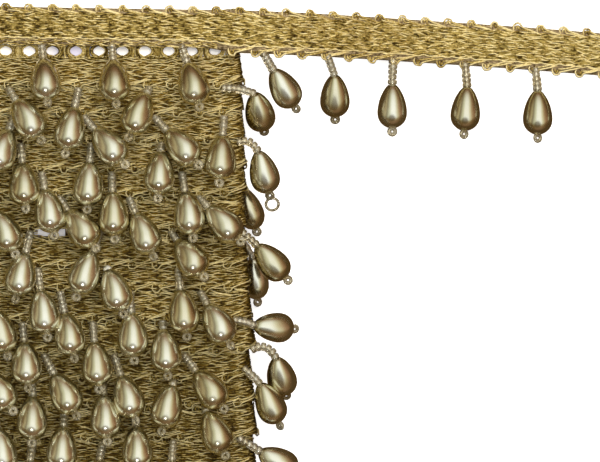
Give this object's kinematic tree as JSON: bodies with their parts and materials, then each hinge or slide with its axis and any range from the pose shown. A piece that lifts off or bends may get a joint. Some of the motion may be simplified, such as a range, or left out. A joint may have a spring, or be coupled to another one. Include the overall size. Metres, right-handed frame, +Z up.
{
  "type": "roll of beaded lace trim",
  "caption": "Flat roll of gold metallic braid trim with picot edges, hung with teardrop pearl drops on beaded strings, with its loose end lying beside it.",
  "frame": {"origin": "middle of the underside of everything, on the surface that the roll lies on", "axes": "+Z up, out of the roll's front face; +X along the braid towards the loose end's cut end; +Y towards the roll's upper edge"},
  "size_m": [0.2142, 0.1612, 0.0241],
  "materials": {
    "braid": "gold metallic thread, braided",
    "pearl": "champagne pearl lustre, with clear seed beads"
  },
  "bodies": {
    "root": {"wound_roll": "braid", "loose_end": "braid", "loose_end_drops": "pearl", "front_drops_01": "pearl", "front_drops_02": "pearl", "front_drops_03": "pearl", "front_drops_04": "pearl", "front_drops_05": "pearl", "front_drops_06": "pearl", "front_drops_07": "pearl", "front_drops_08": "pearl", "front_drops_09": "pearl", "front_drops_10": "pearl", "front_drops_11": "pearl", "front_drops_12": "pearl", "front_drops_13": "pearl", "front_drops_14": "pearl", "front_drops_15": "pearl", "front_drops_16": "pearl", "back_drops_01": "pearl", "back_drops_02": "pearl", "back_drops_03": "pearl", "back_drops_04": "pearl", "back_drops_05": "pearl", "back_drops_06": "pearl", "back_drops_07": "pearl", "back_drops_08": "pearl", "back_drops_09": "pearl", "back_drops_10": "pearl", "back_drops_11": "pearl", "back_drops_12": "pearl", "back_drops_13": "pearl", "back_drops_14": "pearl", "back_drops_15": "pearl", "back_drops_16": "pearl"}
  },
  "joints": []
}
